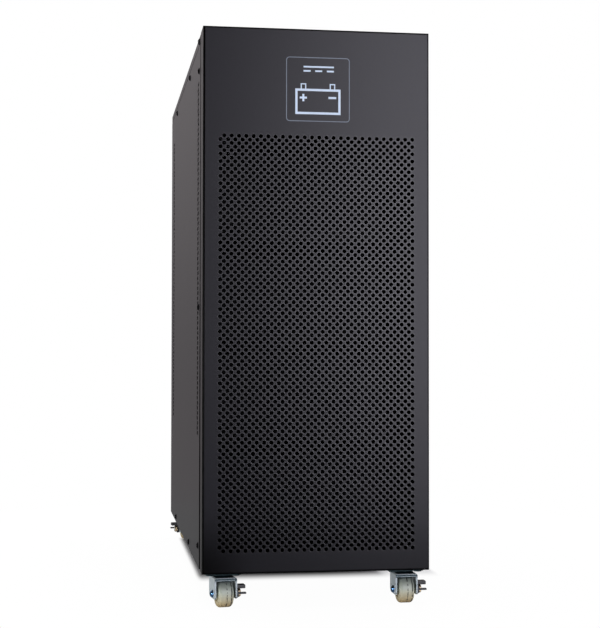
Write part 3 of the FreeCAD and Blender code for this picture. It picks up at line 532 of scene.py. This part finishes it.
def wheel_nylon(at):
    """Off-white nylon in painted shade above, yellowed and stained with soil low down, with dark broken lines
    round the tread.
    """
    across = at.node("ShaderNodeAttribute", {"attribute_name": "across"}, (), "Fac")
    soil = at.noise(140.0, 4.0, 0.6)
    height = at.parts()[2]
    low = height.between(18.0 * MM, 1.0 * MM)
    # painted shade: the wheel darkens towards its top, under the fork's crown
    high = height.between(14.0 * MM, 29.0 * MM)
    clean = soil.blend((0.295, 0.335, 0.275), (0.475, 0.515, 0.42))
    soil_and_shade = high.blend(low.blend(clean, (0.42, 0.31, 0.14)), (0.10, 0.12, 0.11))
    breaks = at.noise(330.0, 2.0)
    middle = ((across - PARTING_LINE).size() < 0.5 * MM) * (breaks > 0.46)
    edge = ((across - SHOULDER_LINE).size() < 0.6 * MM) * (breaks > 0.38)
    return {"Base Color": (middle.most(edge) * 0.95).blend(soil_and_shade, (0.012, 0.014, 0.012)),
            "Roughness": 0.36 + soil * 0.2, "Normal": soil.bump(0.1, 0.1 * MM)}


def lever_black(at):
    """Black lacquer on a pressing, with lighter patches that are partly wear and partly a painted highlight."""
    grain = at.noise(700.0, 3.0)
    # lighter patches: wear, and a painted highlight
    wear_and_sheen = at.noise(260.0, 4.0).between(0.62, 0.72)
    return {"Base Color": wear_and_sheen.blend(grain.blend((0.012, 0.012, 0.013), (0.035, 0.035, 0.036)),
                                     (0.14, 0.13, 0.12)),
            "Roughness": 0.38 + grain * 0.15}


def print_ink(tint):
    """Screen-print ink of a tint, a little uneven."""
    def make(at):
        grain = at.noise(900.0, 2.0)
        thin = [0.86 * value for value in tint]
        return {"Base Color": grain.blend(thin, tint), "Roughness": 0.5 + grain * 0.1}
    return make


MAKERS = {
    "cabinet_paint": cabinet_paint,
    "black_screw": black_screw,
    "zinc_plate": zinc_plate,
    "yellow_zinc": yellow_zinc,
    "brass_stud": brass_stud,
    "tinned_copper": tinned_copper,
    "black_insulation": moulded((0.012, 0.012, 0.012), (0.03, 0.03, 0.03), 700.0, 0.45),
    "red_insulation": moulded((0.30, 0.015, 0.012), (0.48, 0.03, 0.025), 700.0, 0.45),
    # battery cases: black plastic, made darker still as painted shade inside the cabinet
    "battery_case": moulded((0.005, 0.005, 0.006), (0.010, 0.010, 0.011), 500.0, 0.8, 0.05),
    "breaker_plastic": moulded((0.46, 0.46, 0.44), (0.58, 0.58, 0.56), 800.0, 0.42),
    "black_plastic": moulded((0.014, 0.014, 0.015), (0.034, 0.034, 0.036), 800.0, 0.38),
    "fuse_body": moulded((0.66, 0.64, 0.58), (0.80, 0.78, 0.72), 300.0, 0.3),
    "socket_plastic": moulded((0.16, 0.165, 0.17), (0.26, 0.265, 0.27), 800.0, 0.42),
    "wheel_nylon": wheel_nylon,
    "lever_black": lever_black,
}
INKS = {
    "frame_ink": print_ink((0.19, 0.23, 0.28)),
    "symbol_ink": print_ink((0.62, 0.74, 0.88)),
}


def finish(name, make):
    """Material whose Principled sockets are what its maker works out from Object coordinates."""
    material = bpy.data.materials.new(name)
    material.use_nodes = True
    tree = material.node_tree
    at = Shade(tree).node("ShaderNodeTexCoord", output="Object")
    shader = tree.nodes["Principled BSDF"]
    for socket, value in make(at).items():
        at.feed(shader.inputs[socket], value)
    return material


FINISH = {name: finish(name, make) for name, make in (MAKERS | INKS).items()}


def hole_rows():
    """Centres of the front's holes: rows half a pitch apart, every other row moved by half a pitch."""
    row = np.arange(HOLE_ROWS)[:, None]
    hole = np.arange(HOLES_PER_ROW)[None, :]
    x = FIRST_HOLE - (row % 2) * PITCH / 2 + hole * PITCH
    z = FOOT + FIRST_ROW + row * PITCH / 2 + 0 * hole
    return np.stack([x, z], -1).reshape(-1, 2)


def saw_edge():
    """Outline of the field of diamond cells: teeth half a pitch deep on all four sides."""
    half = PITCH / 2
    low = FOOT + FIRST_ROW
    high = low + (HOLE_ROWS - 1) * half
    left = FIRST_HOLE - half
    tooth = np.arange(2 * HOLES_PER_ROW + 1)
    row = np.arange(1, HOLE_ROWS - 1)
    right = left + tooth[-1] * half
    bottom = np.stack([left + tooth * half, low - tooth % 2 * half], 1)
    up = np.stack([right - row % 2 * half, low + row * half], 1)
    top = np.stack([right - tooth * half, high + tooth % 2 * half], 1)
    down = np.stack([left - row % 2 * half, high - row * half], 1)
    return np.concatenate([bottom, up, top, down])


def rectangle(left, low, right, high):
    """Corners of a rectangle, anticlockwise."""
    return np.array([(left, low), (right, low), (right, high), (left, high)])


def folded_edge():
    """The front's folded edges: loops about the four corner centres, outside and inside the sheet.

    A point is corner + reach * (cos a, sin a) over the greater of the two, which makes a square corner. The
    reach grows with the sine of the fold's angle and the depth with one minus its cosine; two straight rows
    follow, to the short return of the bottom and the full return of the other sides. The outer skin of the
    side returns leans in towards its far edge, most at the foot.
    """
    short_end = math.degrees(math.acos((FOLD - SKIN) / FOLD))
    quarter = np.array([0.0, 22.5, 45.0, 67.5, 90.0])
    bottom = np.array([0.0, 22.5, 45.0, short_end, 90.0])
    angles = np.radians(np.concatenate([180 + bottom, 360 - bottom[::-1], quarter, 90 + quarter]))
    centres = rectangle(FOLD - HALF, FOOT + FOLD, HALF - FOLD, TOP - FOLD).repeat(5, 0)
    around = np.stack([np.cos(angles), np.sin(angles)], 1)
    around /= np.abs(around).max(1)[:, None]
    bend = np.radians(quarter)
    skins = []
    for radius in (FOLD, FOLD - SKIN):
        reach = np.concatenate([radius * np.sin(bend), (radius, radius)])
        depth = np.concatenate([FOLD - radius * np.cos(bend), (FOOT_RETURN, RETURN - FRONT)])
        flat = centres[None] + reach[:, None, None] * around[None]
        back = FRONT + depth[:, None] + 0 * flat[..., 0]
        if radius == FOLD:
            low = (TOP - flat[..., 1]) / (TOP - FOOT)
            along = (depth[:, None] - FOLD).clip(0) / (RETURN - FRONT - FOLD)
            lean = (LEAN_TOP + (LEAN_FOOT - LEAN_TOP) * low) * along
            flat[..., 0] *= 1 - lean / HALF
        skins.append(np.stack([flat[..., 0], back, flat[..., 1]], -1))
    rows, columns = skins[0].shape[:2]
    all_round = grid_faces(rows - 1, columns, False, True)
    column = np.arange(columns)
    first, last = 3, 6            # columns between which the bottom's return stays short
    cut_back = (column >= first) & (column < last)
    long_part = grid_faces(2, columns, False, True)[~cut_back] + (rows - 2) * columns
    skin_faces = np.concatenate([all_round, long_part])
    inside = rows * columns
    ahead = (column + 1) % columns
    level = np.where(cut_back, rows - 2, rows - 1) * columns
    rim = np.stack([level + column, level + ahead, inside + level + ahead, inside + level + column], 1)
    ends = np.array([(rows - 2) * columns + first, (rows - 2) * columns + last])
    steps = np.stack([ends, ends + columns, inside + ends + columns, inside + ends], 1)
    points = np.concatenate([skin.reshape(-1, 3) for skin in skins])
    return points, [skin_faces, skin_faces + inside, rim, steps]


def perforated_front():
    """Front panel with every hole of its perforation."""
    hole = arc((0, 0), HOLE, 0, 330, 12)
    half = PITCH / 2
    cell = np.array([(half, 0), (0, half), (-half, 0), (0, -half)])
    flat = rectangle(FOLD - HALF, FOOT + FOLD, HALF - FOLD, TOP - FOLD)
    saw = saw_edge()
    return joined(perforated(hole_rows(), cell, hole, on_front), filled(flat, [saw], on_front, 0.0),
                  filled(flat, [saw], on_front, SKIN), folded_edge())


def vent_rows(line):
    """Centres of a vent strip's holes: a few to a row, every other row moved by half a pitch."""
    row = np.arange(VENT_ROWS)[:, None]
    hole = np.arange(VENT_COLUMNS)[None, :]
    y = line + (hole - VENT_COLUMNS / 2 + 0.25 + 0.5 * (row % 2)) * VENT_PITCH
    z = FOOT + VENT_FIRST + row * VENT_ROW + 0 * hole
    return np.stack([y, z], -1)


def vent_edge(rows):
    """Outline of a strip of six-sided cells."""
    half = VENT_PITCH / 2
    third = VENT_ROW / 3
    right = rows[:, -1] + (half, 0)
    left = rows[::-1, 0] - (half, 0)
    up = np.stack([right - (0, third), right + (0, third)], 1).reshape(-1, 2)
    down = np.stack([left + (0, third), left - (0, third)], 1).reshape(-1, 2)
    low, high = rows[0], rows[-1]
    bottom = np.stack([low - (0, 2 * third), low + (half, -third)], 1).reshape(-1, 2)
    top = np.stack([high + (0, 2 * third), high + (half, third)], 1).reshape(-1, 2)
    return np.concatenate([bottom[:-1], up, top[-2::-1], down])


def mesh_points(mesh):
    """All points of a mesh."""
    points = np.empty(len(mesh.vertices) * 3)
    mesh.vertices.foreach_get("co", points)
    return points.reshape(-1, 3)


def screw_places():
    """Middles (y, z) of the side screws, read from the solids of one side."""
    points = mesh_points(frame["nodes"]["side_screws"].data)
    rim = points[np.abs(points[:, 0] + HALF) < 10 * MERGE]
    places = []
    while len(rim):
        near = np.linalg.norm(rim[:, 1:] - rim[0, 1:], axis=1) < 2.5 * SCREW_HEAD
        middle = (rim[near, 1:].min(0) + rim[near, 1:].max(0)) / 2
        places.append(middle)
        rim = rim[~near]
    return np.array(places)


def vented_side(side):
    """Side panel with its two vent strips and screw holes."""
    place = on_side(side)
    outline = rectangle(side_low.y, side_low.z, side_high.y, side_high.z)
    hole = arc((0, 0), VENT_HOLE, 30, 360, 12)
    half = VENT_PITCH / 2
    third = VENT_ROW / 3
    cell = np.array([(half, third), (0, 2 * third), (-half, third), (-half, -third), (0, -2 * third),
                     (half, -third)])
    strips = [vent_rows(FRONT + FRONT_VENT), vent_rows(REAR - REAR_VENT)]
    edges = [vent_edge(rows) for rows in strips]
    low_screws = [middle for middle in SCREWS if middle[1] < side_high.z]
    bores = [arc(middle, SCREW_SHANK + SCREW_ROOM, 0, 345, 24) for middle in low_screws]
    parts = [perforated(rows.reshape(-1, 2), cell, hole, place) for rows in strips]
    parts += [wall(loop, loop, place, 0.0, SKIN) for loop in bores + [outline]]
    parts += [filled(outline, edges + bores, place, depth) for depth in (0.0, SKIN)]
    return joined(*parts)


def dome(height, radius, count):
    """Points (along, radius) of a spherical cap, from its crown at -height to its rim at 0."""
    sphere = (radius ** 2 + height ** 2) / (2 * height)
    reach = np.linspace(0, radius, count)
    return np.stack([sphere - height - np.sqrt(sphere ** 2 - reach ** 2), reach], 1)


def cross_recess(reach, width, depth):
    """Swell that sinks a cross of two tapered slots into the middle of a dome."""
    def swell(along, radius, t):
        x = np.abs(radius * np.cos(t))
        y = np.abs(radius * np.sin(t))
        narrow = np.clip((width - np.minimum(x, y)) / (0.5 * width), 0, 1)
        long = np.clip((reach - np.maximum(x, y)) / (0.5 * reach), 0, 1)
        return along + np.where(along < -MERGE, depth * narrow * long, 0.0), radius
    return swell


def side_screws():
    """Button-headed screws with a cross recess, seated on the panels' faces."""
    shank = [(0.0, SCREW_SHANK), (SCREW_LENGTH, SCREW_SHANK), (SCREW_LENGTH, 0.0)]
    profile = np.concatenate([dome(SCREW_RISE, SCREW_HEAD, 14), shank])
    recess = cross_recess(RECESS_REACH, RECESS_WIDTH, RECESS_DEPTH)
    return joined(*[turned(profile, (side * HALF, y, z), (-side, 0, 0), 48, False, recess)
                    for side in (-1, 1) for y, z in SCREWS])


def band(path, width, place, closed, rise):
    """Flat printed line: a strip of a width along a path of (x, z) points, with mitred corners.

    The edge points are path +- (width / 2) * mitre, where the mitre is the sum of the two runs' normals
    over one plus their dot product.
    """
    path = np.asarray(path, float)
    run = np.roll(path, -1, 0) - path
    if not closed:
        run[-1] = run[-2]
    run /= np.linalg.norm(run, axis=1)[:, None]
    before = np.roll(run, 1, 0)
    if not closed:
        before[0] = run[0]
    normal = np.stack([-run[:, 1], run[:, 0]], 1)
    earlier = np.stack([-before[:, 1], before[:, 0]], 1)
    mitre = (normal + earlier) / (1 + (normal * earlier).sum(1))[:, None]
    left = path + mitre * width / 2
    right = path - mitre * width / 2
    section = np.stack([place(left, 0.0), place(left, -rise), place(right, -rise), place(right, 0.0)], 1)
    faces = [grid_faces(len(path), 4, closed, True)]
    if not closed:
        last = 4 * (len(path) - 1)
        faces.append(np.array([(0, 1, 2, 3), (last + 3, last + 2, last + 1, last)]))
    return section.reshape(-1, 3), faces


def plate(outline, place, rise):
    """Flat printed shape: an outline raised by a little, closed all round."""
    return joined(filled(outline, [], place, 0.0), filled(outline, [], place, -rise),
                  wall(outline, outline, place, 0.0, -rise))


def rounded(left, low, right, high, radius, count=7):
    """Rectangle with round corners, anticlockwise."""
    corners = [((left + radius, low + radius), 180), ((right - radius, low + radius), 270),
               ((right - radius, high - radius), 0), ((left + radius, high - radius), 90)]
    return np.concatenate([arc(centre, radius, start, start + 90, count) for centre, start in corners])


def at_front(points):
    """Millimetres across the front and above its foot, in metres of the frame."""
    return np.asarray(points, float) * MM + (0.0, FOOT)


def pictogram_frame():
    """Thin rounded frame round the pictogram."""
    return band(at_front(rounded(*FRAME_BOX, FRAME_CORNER)), FRAME_LINE, on_front, True, PRINT)


def battery_pictogram():
    """Battery outline with its two terminals, a plus, a minus, and the direct-current symbol over it."""
    posts = []
    for left in POST_LEFTS:
        right = left + POST_WIDTH
        posts.append([(left, POST_FOOT), (left, POST_TOP), (right, POST_TOP), (right, POST_FOOT)])
    quarter = np.array([(PLUS_HALF, -PLUS_ARM), (PLUS_HALF, -PLUS_HALF), (PLUS_ARM, -PLUS_HALF)])
    turns = [np.array([(0, 1), (-1, 0)]), np.array([(-1, 0), (0, -1)]), np.array([(0, -1), (1, 0)])]
    plus = np.concatenate([quarter] + [quarter @ turn for turn in turns]) + PLUS_MIDDLE
    dashes = [rectangle(left, DASH_FOOT, left + DASH_WIDTH, DASH_TOP) for left in DASH_LEFTS]
    parts = [band(at_front(rectangle(*CASE_BOX)), CASE_LINE, on_front, True, PRINT)]
    parts += [band(at_front(post), POST_LINE, on_front, False, PRINT) for post in posts]
    parts += [plate(at_front(shape), on_front, PRINT)
              for shape in (plus, rectangle(*MINUS_BOX), rectangle(*BAR_BOX), *dashes)]
    return joined(*parts)


def wheel_profile():
    """Section of a moulded wheel: tread with round shoulders, a parting line, dished webs and a long hub."""
    outside, half, shoulder, rim, web = 15.0, 8.6, 4.0, 8.4, 6.8
    hub, reach, bore = 6.0, 10.6, 3.05
    groove, ease = 0.18, 0.5
    side = np.concatenate([
        [(0.0, outside - groove), (groove, outside)],
        arc((half - shoulder, outside - shoulder), shoulder, 90, 0, 9),
        [(half, rim + ease), (half - ease, rim), (web + ease, rim), (web, rim - ease), (web, hub + ease),
         (web + ease, hub), (reach - ease, hub), (reach, hub - ease), (reach, bore)]])
    return np.concatenate([side, side[:0:-1] * (-1, 1)]) * MM


def caster_axis(corner):
    """Middle of a caster's wheel and the direction of its axle, from the joint."""
    joint = next(j for j in frame["joints"] if j["name"] == corner + "_roll")
    return np.array(joint["pos_m"]), np.array(joint["axis"], float)


def set_attribute(made, name, origin, axis, value):
    """Stores a value of each point's place along the axle on the mesh, for the finish to read."""
    values = value((mesh_points(made.data) - origin) @ axis)
    made.data.attributes.new(name, "FLOAT", "POINT").data.foreach_set("value", values)


def domed_axle(origin, axis):
    """Axle with a domed head on one leg of the fork and a bevelled end in the nut on the other."""
    ease = 0.5 * MM
    tip = NUT_INSIDE + NUT_HEIGHT
    head = dome(AXLE_HEAD_RISE, AXLE_HEAD, 12) - (LEG_OUTSIDE, 0)
    shank = [(-LEG_OUTSIDE, AXLE), (tip - ease, AXLE), (tip, AXLE - ease), (tip, 0.0)]
    return turned(np.concatenate([head, shank]), origin, axis, 40)


def bevelled_nut(origin, axis):
    """Six-sided nut whose corners are turned down to a cone at both ends.

    The radius is the lesser of the cone's and flats / 2 / cos(t from the middle of a side).
    """
    corner = NUT_FLATS / 2 / math.cos(math.pi / 6)
    face = 0.47 * NUT_FLATS
    rise = (corner - face) * math.tan(math.pi / 6)
    bevel = np.stack([np.linspace(0, rise, 5), np.linspace(face, corner, 5)], 1)
    near = bevel + (NUT_INSIDE, 0)
    far = bevel[::-1] * (-1, 1) + (NUT_INSIDE + NUT_HEIGHT, 0)
    bore = [(far[-1, 0], AXLE), (near[0, 0], AXLE)]

    def six_sided(along, radius, t):
        side = NUT_FLATS / 2 / np.cos((t + math.pi / 6) % (math.pi / 3) - math.pi / 6)
        return along, np.minimum(radius, side)

    return turned(np.concatenate([near, far, bore]), origin, axis, 72, True, six_sided)


def caster_detail(corner):
    """Turned wheel, axle and nut of one caster."""
    origin, axis = caster_axis(corner)
    wheel = piece(corner + "_moulded_wheel", turned(wheel_profile(), origin, axis, 72, True), "wheel_nylon",
                  corner + "_wheel", [corner + "_wheel"])
    set_attribute(wheel, "across", origin, axis, np.asarray)
    axle = piece(corner + "_domed_axle", domed_axle(origin, axis), "zinc_plate", corner + "_fork",
                 [corner + "_axle"])
    set_attribute(axle, "head", origin, axis, lambda along: (along < -LEG_OUTSIDE + MERGE).astype(float))
    piece(corner + "_bevelled_nut", bevelled_nut(origin, axis), "yellow_zinc", corner + "_fork",
          [corner + "_axle_nut"])


for part in frame["record"]["subparts"]:
    materials = frame["nodes"][part["node"]].data.materials
    materials.clear()
    materials.append(FINISH[part["material_slot"]])

SCREWS = screw_places()
piece("perforated_front_panel", perforated_front(), "cabinet_paint", stands_for=["front_panel"],
      sharp=SHARP_FLAT)
piece("vented_left_side_panel", vented_side(-1), "cabinet_paint", stands_for=["left_side_panel"])
piece("vented_right_side_panel", vented_side(1), "cabinet_paint", stands_for=["right_side_panel"])
piece("recessed_side_screws", side_screws(), "black_screw", stands_for=["side_screws"])
for corner in ("front_left", "front_right", "rear_left", "rear_right"):
    caster_detail(corner)
piece("pictogram_frame_print", pictogram_frame(), "frame_ink")
piece("battery_pictogram_print", battery_pictogram(), "symbol_ink")

# Stage, light and camera
FLOOR_RADIUS = 0.62
FLOOR_MIDDLE = 0.16
FLOOR_POINTS = 96
turn = np.arange(FLOOR_POINTS) * 2 * math.pi / FLOOR_POINTS
disc = np.stack([FLOOR_RADIUS * np.cos(turn), FLOOR_MIDDLE + FLOOR_RADIUS * np.sin(turn), 0 * turn], 1)
floor_mesh = bpy.data.meshes.new("floor")
floor_mesh.from_pydata(disc.tolist(), [], [list(range(FLOOR_POINTS))])
floor = bpy.data.objects.new("floor", floor_mesh)
bpy.context.scene.collection.objects.link(floor)


def seen_directly(tree):
    """Two shares: 1 for the camera's own rays, and 1 for those by way of a mirror or glass."""
    path = tree.nodes.new("ShaderNodeLightPath")
    camera, glossy, through = [Shade(tree, path.outputs[name]) for name in
                               ("Is Camera Ray", "Is Glossy Ray", "Is Transmission Ray")]
    return camera, glossy.most(through)


def floor_finish():
    """Pale floor that reads as white, with a shadow under the part whose outline is painted; mirrored, it is dim.
    """
    material = bpy.data.materials.new("floor")
    material.use_nodes = True
    tree = material.node_tree
    tree.nodes.clear()
    camera, other = seen_directly(tree)
    at = camera.node("ShaderNodeTexCoord", output="Object")
    x, y = at.parts()[:2]
    # painted shadow: the floor shows its shading only inside this patch under the part, set off to the right
    under = eased(y.between(FRONT + SHADOW_START, FRONT + SHADOW_FULL))
    under = under * eased(y.between(REAR, REAR - SHADOW_REAR))
    under = under * eased((x - SHADOW_SHIFT).size().between(HALF + SHADOW_EDGE, HALF + SHADOW_CORE))
    paper = at.node("ShaderNodeBsdfDiffuse", {}, {"Color": (0.8, 0.8, 0.8, 1.0)}, "BSDF")
    light = (camera + other * 0.25).blend((0.0, 0.0, 0.0), (1.0, 1.0, 1.0))
    glow = at.node("ShaderNodeEmission", {}, {"Color": light, "Strength": 1.0}, "Emission")
    share = camera * (0.98 - under * 0.98) + other * 0.9
    mixed = at.node("ShaderNodeMixShader", {}, {0: share, 1: paper, 2: glow})
    out = tree.nodes.new("ShaderNodeOutputMaterial")
    tree.links.new(mixed.socket, out.inputs["Surface"])
    return material


floor_mesh.materials.append(floor_finish())


def backdrop():
    """White world for the camera; for reflections it is pale behind the part, more so high up, else dim."""
    world = bpy.data.worlds.new("studio")
    bpy.context.scene.world = world
    world.use_nodes = True
    tree = world.node_tree
    camera, other = seen_directly(tree)
    way = camera.node("ShaderNodeTexCoord", output="Generated")
    _, y, z = way.parts()
    behind = y.between(0.2, 0.9)
    high = z.between(0.0, 0.6)
    mirrored = 0.06 + behind * (0.28 + high * 0.85)
    room = (0.1 + other * (mirrored - 0.1)).blend((0.0, 0.0, 0.0), (1.0, 0.93, 0.95))
    camera.feed(tree.nodes["Background"].inputs["Color"], camera.blend(room, (1.0, 1.0, 1.0)))
    camera.feed(tree.nodes["Background"].inputs["Strength"], 1.0)


backdrop()


def softbox(name, place, aim, wide, tall, power, tint=(1.0, 1.0, 1.0)):
    """Soft lamp of some width and height at a place, turned to a point."""
    data = bpy.data.lights.new(name, "AREA")
    data.shape = "RECTANGLE"
    data.size = wide
    data.size_y = tall
    data.energy = power
    data.color = tint
    lamp = bpy.data.objects.new(name, data)
    lamp.location = place
    lamp.rotation_mode = "QUATERNION"
    lamp.rotation_quaternion = (Vector(aim) - Vector(place)).to_track_quat("-Z", "Y")
    bpy.context.scene.collection.objects.link(lamp)
    return lamp


softbox("key_lamp", (0.65, -2.3, 0.70), (0.0, -0.2, 0.35), 0.4, 1.6, 32.0, (0.99, 0.97, 1.08))
softbox("left_lamp", (-2.0, -1.05, 0.12), (0.0, -0.2, 0.05), 1.0, 0.2, 23.0)
top_lamp = softbox("top_lamp", (0.0, 0.2, 2.4), (0.0, 0.0, 0.0), 2.0, 2.0, 90.0)
back_lamp = softbox("back_lamp", (-1.6, 1.8, 1.2), (0.0, 0.0, 0.3), 1.2, 1.2, 20.0)
for lamp in (top_lamp, back_lamp):
    lamp.visible_glossy = False

# Camera, solved from the cabinet's edges and holes in the 600 x 628 picture
LENS = 79.678
CAMERA = (-0.24128, -1.802, 0.27915)
YAW, PITCH_UP, ROLL = math.radians(8.466), math.radians(1.480), math.radians(0.070)
ahead = Vector((math.sin(YAW) * math.cos(PITCH_UP), math.cos(YAW) * math.cos(PITCH_UP), math.sin(PITCH_UP)))
level = Vector((math.cos(YAW), -math.sin(YAW), 0.0))
upright = level.cross(ahead)
right = math.cos(ROLL) * level + math.sin(ROLL) * upright
up = math.cos(ROLL) * upright - math.sin(ROLL) * level
camera_data = bpy.data.cameras.new("camera")
camera_data.lens = LENS
camera = bpy.data.objects.new("camera", camera_data)
camera.matrix_world = Matrix.Translation(CAMERA) @ Matrix((right, up, -ahead)).transposed().to_4x4()
bpy.context.scene.collection.objects.link(camera)
bpy.context.scene.camera = camera
bpy.context.scene.view_settings.view_transform = "Standard"
